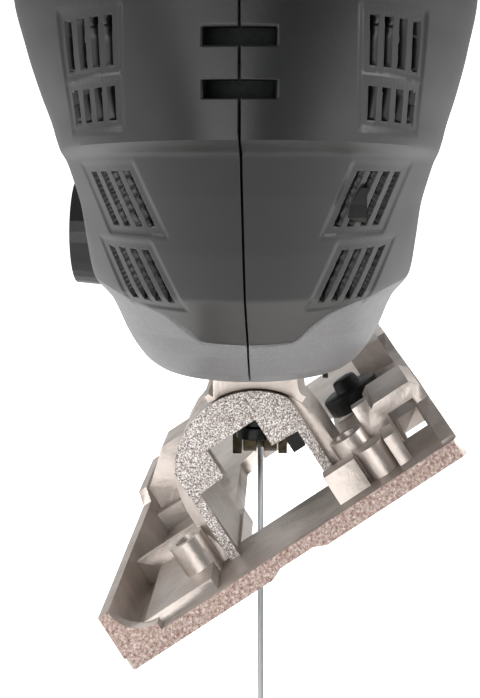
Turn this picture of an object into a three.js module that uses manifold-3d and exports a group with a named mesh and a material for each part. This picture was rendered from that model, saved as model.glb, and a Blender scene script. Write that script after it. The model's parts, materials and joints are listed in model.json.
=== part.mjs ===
// A hand-held D-handle jigsaw, built as separate pieces. Millimetres, +Z up, +Y the way it cuts, +X to its right.
// Everything is drawn in the tool's own frame: x = 0 is the blade's plane, z = 0 the axis that the shoe tilts
// about, and y = 0 the shoe's rear edge. The last group moves all of it so that the origin lies on the sole.
import * as THREE from "three";
import { mergeVertices } from "three/addons/utils/BufferGeometryUtils.js";
import Module from "manifold-3d";

const wasm = await Module();
wasm.setup();

// ---- driving dimensions ----
const TILT = THREE.MathUtils.degToRad(33); // the shoe is stored clamped at this bevel
const SOLE = 16.9; // sole below the tilt axis
const ORIGIN_Y = 10; // the origin lies this far ahead of the shoe's rear edge
const GAP = 0.15; // half the gap at a parting line
const WALL = 2.6; // moulded shell

const MOTOR_Z = 86; // armature axis
const GEAR_Z = 62.5; // drive gear axis
const PLUNGER_Y = 97; // plunger and blade axis
const STROKE = 18;
const PINION_TEETH = 9;
const GEAR_TEETH = 38;

const SHOE_HALF = 40; // half the shoe's width
const SHOE_LONG = 152;
const FLOOR = -SOLE + 3.9; // top of the shoe's plate
const ARCH_R = 17.4; // outside of the tilt arch
const TUNNEL_R = 13.2; // inside of the tilt arch
const ARCH_Y = [15, 46];

const PALETTE = {
  charcoal: [0x2c302f, 0.55, 0],
  rubber: [0x1b1d1d, 0.8, 0],
  cast_grey: [0x9b9a96, 0.45, 0.6],
  cast_bare: [0xb9b1a8, 0.4, 0.85],
  steel: [0xa9adae, 0.3, 1],
  black_steel: [0x17191a, 0.45, 0.7],
  bronze: [0xa57c47, 0.35, 1],
  copper: [0xb46a3c, 0.35, 1],
  iron: [0x55575a, 0.5, 0.9],
  carbon: [0x222224, 0.7, 0],
  clear: [0xdfe6e6, 0.1, 0],
  nylon: [0x3a3f44, 0.6, 0],
};

// ---- solids ----
function solid(geometry) {
  const bare = geometry.index ? geometry.toNonIndexed() : geometry.clone();
  bare.deleteAttribute("normal");
  bare.deleteAttribute("uv");
  const merged = mergeVertices(bare, 1e-4);
  const made = new wasm.Mesh({
    numProp: 3,
    vertProperties: merged.attributes.position.array,
    triVerts: new Uint32Array(merged.index.array),
  });
  return new wasm.Manifold(made);
}

function box(x, y, z) {
  const g = new THREE.BoxGeometry(x[1] - x[0], y[1] - y[0], z[1] - z[0]);
  g.translate((x[0] + x[1]) / 2, (y[0] + y[1]) / 2, (z[0] + z[1]) / 2);
  return solid(g);
}

// A round bar along an axis through `at`, from a to b. `r` may be [r at a, r at b].
function bar(axis, r, a, b, at, sides = 20) {
  const [ra, rb] = Array.isArray(r) ? r : [r, r];
  const g = new THREE.CylinderGeometry(rb, ra, b - a, sides);
  g.translate(0, (a + b) / 2, 0);
  if (axis === "x") g.rotateZ(-Math.PI / 2);
  if (axis === "z") g.rotateX(Math.PI / 2);
  const [p, q] = at;
  if (axis === "x") g.translate(0, p, q);
  if (axis === "y") g.translate(p, 0, q);
  if (axis === "z") g.translate(p, q, 0);
  return solid(g);
}

function outline(points) {
  return new THREE.Shape(points.map(([u, v]) => new THREE.Vector2(u, v)));
}

// A flat outline carried along x, y or z. Its two coordinates are (y, z), (x, z) or (x, y).
function prism(axis, shape, a, b, rounding = 0) {
  const bevel = {
    bevelEnabled: rounding > 0,
    bevelThickness: rounding,
    bevelSize: rounding,
    bevelOffset: -rounding,
    bevelSegments: 2,
  };
  const depth = b - a - 2 * rounding;
  const g = new THREE.ExtrudeGeometry(shape, { depth, curveSegments: 8, ...bevel });
  g.translate(0, 0, a + rounding);
  if (axis === "x") {
    g.applyMatrix4(new THREE.Matrix4().set(0, 0, 1, 0, 1, 0, 0, 0, 0, 1, 0, 0, 0, 0, 0, 1));
  }
  if (axis === "y") {
    g.rotateX(Math.PI / 2);
    g.scale(1, -1, 1);
    const index = g.index ? g.index.array : null;
    if (!index) {
      const p = g.attributes.position;
      for (let i = 0; i < p.count; i += 3) {
        for (const k of ["X", "Y", "Z"]) {
          const held = p["get" + k](i + 1);
          p["set" + k](i + 1, p["get" + k](i + 2));
          p["set" + k](i + 2, held);
        }
      }
    }
  }
  return solid(g);
}

// Rings of the same number of points, stacked from the lowest up and closed at both ends.
function loft(rings) {
  const sides = rings[0].length;
  const g = new THREE.CylinderGeometry(1, 1, 1, sides, rings.length - 1);
  const p = g.attributes.position;
  for (let i = 0; i < p.count; i += 1) {
    const level = Math.round((p.getY(i) + 0.5) * (rings.length - 1));
    const turn = Math.atan2(p.getX(i), p.getZ(i)) / (2 * Math.PI);
    const ring = rings[level];
    const middle = Math.hypot(p.getX(i), p.getZ(i)) < 0.5;
    const step = (Math.round(turn * sides) + sides) % sides;
    const [x, y, z] = middle ? centre(ring) : ring[step];
    p.setXYZ(i, x, y, z);
  }
  return solid(g);
}

function centre(ring) {
  return [0, 1, 2].map((k) => ring.reduce((sum, point) => sum + point[k], 0) / ring.length);
}

function join(...solids) {
  return solids.reduce((a, b) => a.add(b));
}

function cut(from, ...tools) {
  return tools.reduce((a, b) => a.subtract(b), from);
}

const root = new THREE.Group();
root.position.set(0, -ORIGIN_Y, SOLE / Math.cos(TILT));

function place(name, made, colour, group = root) {
  const m = made.getMesh();
  const xyz = new Float32Array(m.numVert * 3);
  for (let i = 0; i < m.numVert; i += 1) {
    xyz.set(m.vertProperties.subarray(i * m.numProp, i * m.numProp + 3), i * 3);
  }
  const g = new THREE.BufferGeometry();
  g.setAttribute("position", new THREE.BufferAttribute(xyz, 3));
  g.setIndex(new THREE.BufferAttribute(m.triVerts, 1));
  g.computeVertexNormals();
  const [color, roughness, metalness] = PALETTE[colour];
  const mesh = new THREE.Mesh(g, new THREE.MeshStandardMaterial({ color, roughness, metalness }));
  mesh.name = name;
  group.add(mesh);
  return mesh;
}

// Smooth values between [position, value] knots.
function along(knots, at) {
  if (at <= knots[0][0]) return knots[0][1];
  for (let i = 1; i < knots.length; i += 1) {
    const [b, vb] = knots[i];
    const [a, va] = knots[i - 1];
    if (at <= b) return va + ((vb - va) * (at - a)) / (b - a);
  }
  return knots[knots.length - 1][1];
}

function smooth(a, b, at) {
  const t = Math.min(1, Math.max(0, (at - a) / (b - a)));
  return t * t * (3 - 2 * t);
}

// ---- the body: an egg-shaped motor casing with a tapering stern ----
const CROWN_R = 34.6; // the casing's round top, about the armature axis
const FLANK = [
  [23.5, 10], [26, 15.5], [29.7, 20.6], [35, 24], [41.6, 26.8], [46, 30], [52, 31],
  [58, 31.8], [64, 33.4], [70, 34.5], [78, 34.8], [86, 34.6], [90, 34.37],
];
const STERN = [
  [23.5, -6], [26, -22], [28, -34], [30, -40], [34, -47], [37, -51], [45, -66], [52, -73],
  [60, -80], [65.5, -84], [67, -90], [98, -90], [110, -86], [121.5, -74],
];

function halfWidth(z, inset) {
  if (z <= 90) return along(FLANK, z) - inset;
  return Math.sqrt(Math.max(16, (CROWN_R - inset) ** 2 - (z - MOTOR_Z) ** 2));
}

// Where the flank's straight stretch starts, at each height: further back towards the crown.
const STRAIGHT_FROM = [
  [23, -6], [62, 0], [70, -10], [76, -26], [82, -41], [90, -55], [98, -56], [122, -50],
];

// One level of the body, from above: a half ellipse at the stern, straight flanks, and a tapered shoulder.
function bodyRing(z, inset) {
  const wide = halfWidth(z, inset);
  const aft = along(STERN, z) + inset;
  const full = Math.max(aft + 4, along(STRAIGHT_FROM, z));
  const front = 84 - inset;
  const neck = Math.min(wide, 27 - inset);
  const right = [];
  for (let i = 0; i <= 6; i += 1) {
    const a = (i / 6) * (Math.PI / 2);
    right.push([wide * Math.sin(a), full - (full - aft) * Math.cos(a)]);
  }
  right.push([wide, 44]);
  for (const t of [0.33, 0.67, 1]) {
    right.push([wide + (neck - wide) * smooth(0, 1, t), 44 + (front - 6 - 44) * t]);
  }
  right.push([neck, front]);
  const left = right.slice(1).reverse().map(([x, y]) => [-x, y]);
  return [...right, ...left].map(([x, y]) => [x, y, z]);
}

function body(inset) {
  const low = 23.5 + (inset ? inset + 0.6 : 0);
  const high = inset ? MOTOR_Z + CROWN_R - inset - 0.6 : 121.5;
  const outside = [26, 29.7, 35, 41.6, 46, 52, 58, 65.5, 67, 71, 78, 86, 95, 103, 110, 116];
  const levels = inset ? [35, 46, 58, 67, 86, 103] : outside;
  const used = [low, ...levels.filter((z) => z > low + 0.8 && z < high - 1.2), high];
  return loft(used.map((z) => bodyRing(z, inset)));
}

// The gear head: an upright column around the plunger, its section a rounded oblong.
const HEAD_Y = 97;
function headRing(z, inset) {
  const shrink = Math.sqrt(Math.max(0.04, 1 - smooth(96, 121, z) ** 2 * 0.8));
  const a = (17 + 11 * smooth(26, 58, z)) * shrink - inset;
  const b = 30 * shrink - inset;
  const ring = [];
  for (let i = 0; i < 20; i += 1) {
    const turn = (i / 20) * 2 * Math.PI;
    const c = Math.cos(turn);
    const s = Math.sin(turn);
    const x = a * Math.sign(s) * Math.abs(s) ** 0.55;
    const y = HEAD_Y - b * Math.sign(c) * Math.abs(c) ** 0.55;
    ring.push([x, y, z]);
  }
  return ring;
}

function head(inset) {
  const levels = inset ? [37, 46, 58, 96, 106, 113] : [24, 34, 42, 50, 58, 96, 106, 113, 118];
  return loft(levels.map((z) => headRing(z, inset)));
}

// The D handle, drawn from the side: its outer edge, and the opening for the fingers.
function handleOutline(inset) {
  const k = inset;
  const shape = new THREE.Shape();
  shape.moveTo(-78 + k, 100);
  shape.bezierCurveTo(-92 + k, 128, -90 + k, 150, -82 + k, 168);
  shape.bezierCurveTo(-76 + k, 182, -62, 191 - k, -44, 191 - k);
  shape.bezierCurveTo(-10, 189 - k, 30, 192 - k, 56, 190 - k);
  shape.bezierCurveTo(80, 188 - k, 96 - k, 176, 101 - k, 158);
  shape.bezierCurveTo(106 - k, 140, 106 - k, 120, 104 - k, 100);
  shape.lineTo(-78 + k, 100);
  return shape;
}

function fingerGap(grow) {
  const k = grow;
  const path = new THREE.Shape();
  path.moveTo(-30, 122 - k);
  path.lineTo(50, 122 - k);
  path.bezierCurveTo(64 + k, 122 - k, 68 + k, 134, 64 + k, 144);
  path.bezierCurveTo(60 + k, 154, 48, 156 + k, 34, 156 + k);
  path.bezierCurveTo(10, 157 + k, -10, 153 + k, -24, 154 + k);
  path.bezierCurveTo(-44, 155 + k, -50 - k, 146, -50 - k, 138);
  path.bezierCurveTo(-50 - k, 128, -44, 122 - k, -30, 122 - k);
  return path;
}

function handle(inset) {
  const outer = prism("x", handleOutline(inset), -17.5 + inset, 17.5 - inset, inset ? 4 : 8);
  const gap = prism("x", fingerGap(inset ? inset + 3.5 : 0), -30, 30);
  return cut(outer, gap);
}

// The finger gap's edges are rounded by a wider mouth on each side.
function gapMouths() {
  return join(prism("x", fingerGap(3.5), 13.5, 30), prism("x", fingerGap(3.5), -30, -13.5));
}

// Below these lines the casing is the grey gear case, and above them the dark housing. TONGUE is the line round
// the stern, by distance from the middle. JOINT is the line along the flanks and up the gear head.
const TONGUE = [[0, 36.4], [7, 36.8], [10, 39.6], [13, 42], [18, 43.6], [24, 45.6], [60, 46]];
const JOINT = [[-1, 46], [56, 46], [66, 58], [80, 90], [140, 94]];

function below(shift) {
  const round = TONGUE.map(([x, z]) => [x, z + shift]);
  const mirrored = round.slice(1).reverse().map(([x, z]) => [-x, z]);
  const stern = prism("y", outline([[60, -10], [-60, -10], ...mirrored, ...round]), -100, 0);
  const top = JOINT.map(([y, z]) => [y, z + shift]);
  return join(stern, prism("x", outline([[-1, -10], [140, -10], ...top.reverse()]), -60, 60));
}

const KNOB = { y: 45, z: 50.6, r: 13.8, seat: -31.2 };
const BOSSES = [
  [-66, 148], [-30, 172], [86, 146], [-66, 60], [-70, 108], [76, 112],
];
const CASE_BOSSES = [
  [-12, 31], [48, 33], [118, 84], [117, 50],
];
const BOSS_R = 4.6;
const HOLE_R = 2.2;
const SINK_R = 4;

function wallBosses(places) {
  return join(...places.map((at) => bar("x", BOSS_R, -40, 40, at, 10)));
}

// Screws go in from the right. Each has a sunk head and a hole into the left half.
function screwHoles(places, seat) {
  const holes = places.map((at) => bar("x", HOLE_R, -8, 40, at, 12));
  const sinks = places.map((at, i) => bar("x", SINK_R, seat[i], 50, at, 12));
  return join(...holes, ...sinks);
}

const BOSS_SEATS = [13, 13, 13, 14, 17, 16];
const CASE_SEATS = [13, 17, 20, 19];

// Blocks of upright slots in the stern's corners: height, span from the middle, how far they lean out, and depth.
const VENTS = [
  { z: [76.8, 83], x: [16.2, 22.4], lean: 0, y: [-100, -60] },
  { z: [70, 74.3], x: [16.2, 22.4], lean: 0, y: [-100, -60] },
  { z: [55.7, 63.5], x: [12.2, 19], lean: 3.2, y: [-90, -40] },
  { z: [44.2, 52.3], x: [10.4, 17], lean: 3.4, y: [-80, -30] },
];
const SLOT = { wide: 1.1, pitch: 2.05 };

function vents() {
  const cuts = [79.6, 73.2].map((z) => box([-4.6, 4.6], [-95, -82], [z - 1.15, z + 1.15]));
  for (const { z, x, lean, y } of VENTS) {
    for (let at = x[0]; at <= x[1]; at += SLOT.pitch) {
      for (const side of [-1, 1]) {
        const corners = [[at, z[0]], [at + SLOT.wide, z[0]], [at + SLOT.wide + lean, z[1]], [at + lean, z[1]]];
        cuts.push(prism("y", outline(corners.map(([u, v]) => [side * u, v])), y[0], y[1]));
      }
    }
  }
  return join(...cuts);
}

function bearingSeat(r, y, z, hole) {
  const ring = bar("y", r, y[0], y[1], [0, z], 20);
  const arms = box([-35, 35], y, [z - 3, z + 3]);
  return [join(ring, arms), bar("y", hole, y[0] - 1, y[1] + 1, [0, z], 24)];
}

// The half ring under the case that the shoe's arch turns against.
function saddle() {
  const inner = ARCH_R + 0.4;
  const outer = 20;
  const reach = THREE.MathUtils.degToRad(33);
  const points = [];
  for (let i = 0; i <= 10; i += 1) {
    const a = -reach + (2 * reach * i) / 10;
    points.push([outer * Math.sin(a), outer * Math.cos(a)]);
  }
  for (let i = 10; i >= 0; i -= 1) {
    const a = -reach + (2 * reach * i) / 10;
    points.push([inner * Math.sin(a), inner * Math.cos(a)]);
  }
  const ring = prism("y", outline(points), 13, 45);
  const web = box([-8.5, 8.5], [13, 45], [18.5, 26]);
  const notches = [-22, -26, -30].map((deg) => {
    const a = THREE.MathUtils.degToRad(deg);
    const g = new THREE.BoxGeometry(1.1, 6, 2.4);
    g.rotateY(a);
    g.translate(19.7 * Math.sin(a), 14.5, 19.7 * Math.cos(a));
    return solid(g);
  });
  return cut(join(ring, web), ...notches);
}

const BOLT_Y = 30.5;
const BUSH = { low: [34.8, 46], high: [79.5, 89], r: 8 };

function makeCasing() {
  const outer = cut(join(body(0), head(0), handle(0)), gapMouths());
  const space = join(body(WALL), head(WALL), handle(WALL));
  const [rearRing, rearHole] = bearingSeat(13.5, [-58, -50], MOTOR_Z, 9.8);
  const [coreRing, coreHole] = bearingSeat(31, [-18, -14], MOTOR_Z, 28.3);
  const [noseRing, noseHole] = bearingSeat(31, [10, 14], MOTOR_Z, 28.3);
  const carriers = join(
    rearRing,
    coreRing,
    noseRing,
    bar("z", 11, BUSH.low[0], BUSH.low[1], [0, PLUNGER_Y], 16),
    box([-27, 27], [91, 103], [BUSH.high[0], BUSH.high[1]]),
    wallBosses(BOSSES),
    wallBosses(CASE_BOSSES),
    bar("x", KNOB.r + 1.9, KNOB.seat - 3, -28.2, [KNOB.y, KNOB.z], 24),
  );
  const walls = join(cut(outer, space), carriers.intersect(outer));
  const bores = join(
    rearHole,
    coreHole,
    noseHole,
    bar("z", BUSH.r + 0.3, BUSH.low[0] - 3, BUSH.high[1] + 20, [0, PLUNGER_Y], 20),
    box([-15.5, 15.5], [76, 130], [-4, 34.5]),
    bar("x", KNOB.r + 0.5, -60, KNOB.seat, [KNOB.y, KNOB.z], 28),
    bar("x", 4.4, -60, -20, [KNOB.y, KNOB.z], 16),
    screwHoles(BOSSES, BOSS_SEATS),
    screwHoles(CASE_BOSSES, CASE_SEATS),
    box([-8, 8], [20.5, 51.5], [140, 166.2]),
    bar("x", 4.9, -30, -10, [6, 170], 16),
    box([-4.8, 4.8], [52.5, 75.5], [170, 200]),
    bar("y", 6.9, -100, -70, [0, 150], 20),
  );
  const fixed = join(cut(walls, bores, vents()), saddle());
  const shell = cut(fixed, bar("z", 3, 10, 29, [0, BOLT_Y], 16));
  const upper = shell.subtract(below(GAP));
  const lower = shell.intersect(below(-GAP));
  const leftSide = box([-60, -GAP], [-120, 160], [-20, 220]);
  const rightSide = box([GAP, 60], [-120, 160], [-20, 220]);
  return {
    housing_left: upper.intersect(leftSide),
    housing_right: upper.intersect(rightSide),
    case_left: lower.intersect(leftSide),
    case_right: lower.intersect(rightSide),
  };
}


// ---- the drive ----
const FIELD_Y = [-26, 22];
const PLATE_Y = [60, 66];
const GEAR_Y = [74, 80];
const SHAFT_R = 4;
const CRANK_R = STROKE / 2;

function ring(outer, inner, y, z, sides = 28) {
  return cut(bar("y", outer, y[0], y[1], [0, z], sides), bar("y", inner, y[0] - 1, y[1] + 1, [0, z], sides));
}

// A spur gear of module 1, with straight-flanked teeth and its first tooth at the given turn.
function gear(teeth, y, z, bore, turn) {
  const r = teeth / 2;
  const pitch = (2 * Math.PI) / teeth;
  const points = [];
  for (let i = 0; i < teeth; i += 1) {
    const a = turn + i * pitch;
    const tooth = [[-0.31, r - 1.15], [-0.13, r + 0.8], [0.13, r + 0.8], [0.31, r - 1.15]];
    for (const [step, radius] of tooth) {
      points.push([radius * Math.sin(a + step * pitch), radius * Math.cos(a + step * pitch)]);
    }
  }
  const shape = outline(points.map(([x, up]) => [x, up + z]));
  return cut(prism("y", shape, y[0], y[1]), bar("y", bore, y[0] - 1, y[1] + 1, [0, z], 16));
}

function makeMotor() {
  const slots = [];
  for (let i = 0; i < 12; i += 1) {
    const g = new THREE.BoxGeometry(2.2, 60, 9);
    g.translate(0, 0, 16.5);
    g.rotateY((i / 12) * 2 * Math.PI);
    g.translate(0, 0, MOTOR_Z);
    slots.push(solid(g));
  }
  const poles = box([-7, 7], [-40, 40], [MOTOR_Z - 24, MOTOR_Z + 24]);
  const bore = bar("y", 19.2, -40, 40, [0, MOTOR_Z], 28);
  const frameRing = ring(28, 23.5, FIELD_Y, MOTOR_Z);
  const packet = poles.intersect(box([-40, 40], FIELD_Y, [40, 130]));
  place("stator_core", cut(join(frameRing, packet), bore), "iron");
  const coils = [[FIELD_Y[0] - 5, FIELD_Y[0] - 0.3], [FIELD_Y[1] + 0.3, FIELD_Y[1] + 5]];
  place("field_coil_rear", ring(25, 19.6, coils[0], MOTOR_Z), "copper");
  place("field_coil_front", ring(25, 19.6, coils[1], MOTOR_Z), "copper");
  const core = ring(18.4, SHAFT_R + 0.3, [-24, 20], MOTOR_Z, 36);
  place("armature_core", cut(core, ...slots), "iron");
  place("armature_shaft", bar("y", SHAFT_R, -59, 69.7, [0, MOTOR_Z], 20), "steel");
  place("commutator", ring(11, SHAFT_R + 0.3, [-45, -33], MOTOR_Z, 24), "copper");
  place("bearing_rear", ring(9.5, SHAFT_R + 0.3, [-57.5, -50.5], MOTOR_Z), "steel");
  place("bearing_front", ring(9.5, SHAFT_R + 0.3, [PLATE_Y[0] + 0.5, PLATE_Y[1]], MOTOR_Z), "steel");
  const blades = [];
  for (let i = 0; i < 11; i += 1) {
    const g = new THREE.BoxGeometry(1.4, 7, 12);
    g.translate(0, 36, 19);
    g.rotateY((i / 11) * 2 * Math.PI);
    g.translate(0, 0, MOTOR_Z);
    blades.push(solid(g));
  }
  place("fan", join(ring(25.5, SHAFT_R + 0.3, [30, 33], MOTOR_Z, 33), ...blades), "nylon");
  for (const [side, word] of [[-1, "left"], [1, "right"]]) {
    const span = (a, b) => (side > 0 ? [a, b] : [-b, -a]);
    const tube = box(span(15, 29), [-45, -33], [MOTOR_Z - 6, MOTOR_Z + 6]);
    const hollow = box(span(10, 27.5), [-43.3, -34.7], [MOTOR_Z - 3.3, MOTOR_Z + 3.3]);
    place("brush_holder_" + word, tube.subtract(hollow), "bronze");
    const brush = box(span(11.4, 24), [-43, -35], [MOTOR_Z - 3, MOTOR_Z + 3]);
    place("brush_" + word, brush, "carbon");
  }
}

function makeGearTrain() {
  const plate = box([-22, 22], PLATE_Y, [GEAR_Z - 14, MOTOR_Z + 14]);
  const wings = box([-25.6, 25.6], PLATE_Y, [MOTOR_Z - 8, MOTOR_Z + 8]);
  const holes = [
    bar("y", 9.8, PLATE_Y[0] + 0.2, 80, [0, MOTOR_Z], 28),
    bar("y", 5, 50, 80, [0, MOTOR_Z], 20),
    bar("y", SHAFT_R + 0.3, 50, 80, [0, GEAR_Z], 20),
  ];
  place("gear_plate", cut(join(plate, wings), ...holes), "cast_grey");
  place("pinion", gear(PINION_TEETH, [70, 82], MOTOR_Z, 1.6, Math.PI), "steel");
  place("gear_shaft", bar("y", SHAFT_R, PLATE_Y[0] + 0.5, GEAR_Y[1] - 0.5, [0, GEAR_Z], 20), "steel");
  const wheel = gear(GEAR_TEETH, GEAR_Y, GEAR_Z, SHAFT_R + 0.3, Math.PI / GEAR_TEETH);
  const pin = bar("y", 2.6, GEAR_Y[0], 87.2, [CRANK_R, GEAR_Z], 16);
  place("crank_gear", wheel.add(pin), "steel");
  place("crank_roller", crankRoller(), "steel");
  const half = bar("y", 17, 80.3, 84, [0, GEAR_Z], 28).intersect(box([-20, -4.4], [70, 90], [40, 85]));
  place("counterweight", half, "iron");
}

function crankRoller() {
  const at = [CRANK_R, GEAR_Z];
  return cut(bar("y", 3.9, 84.3, 87.1, at, 20), bar("y", 2.7, 84, 91, at, 20));
}

function makePlunger() {
  const y = PLUNGER_Y;
  const plate = box([-16.5, 16.5], [87.6, 91.1], [GEAR_Z - 7, GEAR_Z + 7]);
  const slot = box([-13.4, 13.4], [80, 95], [GEAR_Z - 4.3, GEAR_Z + 4.3]);
  place("yoke", plate.subtract(slot), "steel");
  const socket = box([-1.1, 1.1], [y - 4.7, y + 4.7], [0, 22.5]);
  place("plunger", cut(bar("z", 5.6, 11, 100, [0, y], 20), socket), "steel");
  const tube = ([low, high]) => {
    const bore = bar("z", 5.9, low - 1, high + 1, [0, y], 24);
    return cut(bar("z", BUSH.r, low, high, [0, y], 24), bore);
  };
  place("bush_lower", tube(BUSH.low), "bronze");
  place("bush_upper", tube(BUSH.high), "bronze");
  const collar = bar("z", [8.2, 9], 9, 24, [0, y], 16);
  const lug = box([8, 12.5], [y - 2.2, y + 2.2], [13, 21]);
  place("blade_clamp", cut(collar.add(lug), bar("z", 5.9, 0, 30, [0, y], 20)), "black_steel");
  place("blade", makeBlade(), "steel");
}

// Teeth along the front edge, leaning forward, on a flat blade with a shank held by the clamp.
function makeBlade() {
  const y = PLUNGER_Y;
  const tip = -90;
  const edge = [];
  for (let z = tip + 2; z < -14; z += 3) {
    edge.push([y + 4.4, z], [y + 3.1, z + 2.6]);
  }
  const points = [[y - 4.3, -10], [y - 4.3, tip + 6], [y - 1, tip], [y + 4.4, tip], ...edge];
  points.push([y + 4.4, -10], [y + 4.4, 22], [y - 4.3, 22]);
  return prism("x", outline(points), -0.75, 0.75);
}

const ROLLER_AT = [86.9, -7];

function makeOrbit() {
  const { y, z, r, seat } = KNOB;
  const disc = bar("x", [r - 1.2, r], -43, seat - 0.3, [y, z], 32);
  const stem = bar("x", 4, seat - 2, -23, [y, z], 16);
  const lugShape = outline([[y - 4, z], [y - 3, z + 19], [y + 3, z + 19], [y + 4, z]]);
  const lug = prism("x", lugShape, -42.4, -37.3, 0.6);
  place("orbit_knob", join(disc, stem, lug), "charcoal");
  const arms = [[-7.4, -5], [5, 7.4]].map((x) => {
    const side = outline([
      [78.5, 33.5], [78.5, 26], [81.5, -12], [90, -12],
      [90, -2.5], [86.5, -2.5], [84.5, 15], [84.5, 33.5],
    ]);
    return prism("x", side, x[0], x[1]);
  });
  const back = box([-7.4, 7.4], [78.5, 82.4], [24, 33.5]);
  const pinHole = bar("x", 1.9, -9, 9, ROLLER_AT, 14);
  place("pendulum_fork", cut(join(...arms, back), pinHole), "steel");
  place("roller_pin", bar("x", 1.6, -7.2, 7.2, ROLLER_AT, 14), "steel");
  const wheel = cut(bar("x", 5.4, -4.6, 4.6, ROLLER_AT, 24), bar("x", 1.9, -5, 5, ROLLER_AT, 14));
  const groove = cut(bar("x", 6, -1, 1, ROLLER_AT, 24), bar("x", 4.4, -2, 2, ROLLER_AT, 24));
  place("guide_roller", wheel.subtract(groove), "steel");
}

// ---- the shoe, drawn level and then tilted about the y axis ----
function archOutline(outer, straight) {
  const shape = new THREE.Shape();
  const from = Math.acos(straight / outer);
  shape.moveTo(straight, FLOOR - 1);
  shape.lineTo(straight, outer * Math.sin(from));
  shape.absarc(0, 0, outer, from, Math.PI - from, false);
  shape.lineTo(-straight, FLOOR - 1);
  return shape;
}

function makeArch() {
  const rear = prism("y", archOutline(ARCH_R, 14.6), ARCH_Y[0], ARCH_Y[0] + 4);
  const frontPart = prism("y", archOutline(ARCH_R, ARCH_R - 0.01), ARCH_Y[0] + 3, ARCH_Y[1]);
  const tunnel = prism("y", archOutline(TUNNEL_R, TUNNEL_R - 0.01), ARCH_Y[0] + 3.6, ARCH_Y[1] + 1);
  const notch = outline([
    [-12.4, -30], [12.4, -30], [12.4, 2.5], [6.1, 2.9], [6.1, 9.5], [-6.1, 9.5], [-6.1, 2.9], [-12.4, 2.5],
  ]);
  const mouth = prism("y", notch, 5, 30);
  const sector = [[0, 0]];
  for (let i = -8; i <= 8; i += 1) {
    const a = (i / 8) * THREE.MathUtils.degToRad(57.5);
    sector.push([40 * Math.sin(a), 40 * Math.cos(a)]);
  }
  const slot = prism("y", outline(sector), BOLT_Y - 3.4, BOLT_Y + 3.4);
  return cut(join(rear, frontPart), tunnel, mouth, slot);
}

function shoePlate() {
  const h = SHOE_HALF;
  const L = SHOE_LONG;
  const shape = outline([
    [-h + 1, 0], [h - 1, 0], [h, 1], [h, L - 16], [h - 12, L], [7, L], [7, 122], [-7, 122], [-7, L],
    [-h + 12, L], [-h, L - 16], [-h, 1],
  ]);
  const opening = outline([
    [-12.4, 24], [12.4, 24], [12.4, 50], [15.4, 54], [15.4, 100],
    [9.5, 106], [-9.5, 106], [-15.4, 100], [-15.4, 54], [-12.4, 50],
  ]);
  const groove = outline([
    [-6.4, -SOLE - 1], [6.4, -SOLE - 1], [6.4, -SOLE],
    [4, -SOLE + 1.15], [-4, -SOLE + 1.15], [-6.4, -SOLE],
  ]);
  return cut(prism("z", shape, -SOLE, FLOOR), prism("z", opening, -30, 0), prism("y", groove, -5, 30));
}

function shoeWalls() {
  const low = -SOLE + 12.7;
  const high = -SOLE + 16;
  const wall = (side, from) => {
    const shape = outline([
      [from, FLOOR - 1], [from, low], [78, low], [82, high],
      [118, high], [136, low - 4], [136, FLOOR - 1],
    ]);
    return side > 0 ? prism("x", shape, 37.6, 40) : prism("x", shape, -40, -37.6);
  };
  const curve = [[-37.7, low]];
  for (let i = 0; i <= 6; i += 1) {
    const a = (i / 6) * (Math.PI / 2);
    curve.push([-30.5 - 7.2 * Math.cos(a), -SOLE + 12.7 - 7.2 * Math.sin(a)]);
  }
  const corner = prism("y", outline([...curve, [-30.5, FLOOR - 1], [-37.7, FLOOR - 1]]), 0, 3.2);
  const panel = box([-33.5, -17.4], [3, 41], [FLOOR - 1, -SOLE + 6.3]);
  const cross = [
    box([-38, -17.4], [36, 38.5], [FLOOR - 1, -SOLE + 10]),
    box([20.5, 38], [76, 79], [FLOOR - 1, -SOLE + 9]),
    box([-38, -20.5], [76, 79], [FLOOR - 1, -SOLE + 9]),
  ];
  const blocks = [-1, 1].map((side) => {
    const x = side > 0 ? [28, 38] : [-38, -28];
    return box(x, [84, 112], [FLOOR - 1, -SOLE + 15]);
  });
  const shoulderShape = [[-38, FLOOR - 1], [-38, -2.4], [-28.6, 5.6], [-21, 5.6], [-21, FLOOR - 1]];
  blocks.push(prism("y", outline(shoulderShape), 84, 104));
  const bed = box([17.4, 31], [57, 73], [FLOOR - 1, -SOLE + 7]);
  return join(wall(-1, 0), wall(1, 20), corner, panel, ...cross, ...blocks, bed);
}

function shoeFittings() {
  const top = -SOLE + 13;
  const bosses = [-20.4, 20.4].map((x) => bar("z", 4, FLOOR - 1, top, [x, 16], 20));
  const bores = [-20.4, 20.4].map((x) => bar("z", 2.5, -SOLE + 6, top + 2, [x, 16], 16));
  const block = box([12.6, 20], [5, 10], [FLOOR - 1, -SOLE + 10.4]);
  const halfRound = bar("z", 3.3, FLOOR - 1, -SOLE + 10.4, [23.8, 8.6], 16);
  const rib = box([27.2, 30.1], [5, 14], [FLOOR - 1, -SOLE + 10.4]);
  const post = prism("x", outline([
    [1, FLOOR - 1], [1, FLOOR + 0.8], [7, -SOLE + 6.6], [21, -SOLE + 9.6], [21, FLOOR - 1],
  ]), 36.8, 40);
  const finger = box([24.3, 27.9], [20, 24], [FLOOR - 1, -SOLE + 16]);
  const loop = prism("y", outline([
    [27.2, FLOOR - 1], [27.2, -SOLE + 13.2], [29, -SOLE + 14.4],
    [38, -SOLE + 14.4], [40, -SOLE + 12.4], [40, FLOOR - 1],
  ]), 20, 42);
  const through = box([30.3, 36.8], [10, 50], [FLOOR - 2, -SOLE + 10.9]);
  const link = box([20.4, 28], [12, 23], [FLOOR - 1, -SOLE + 8]);
  return cut(join(...bosses, block, halfRound, rib, post, finger, cut(loop, through), link), ...bores);
}

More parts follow.
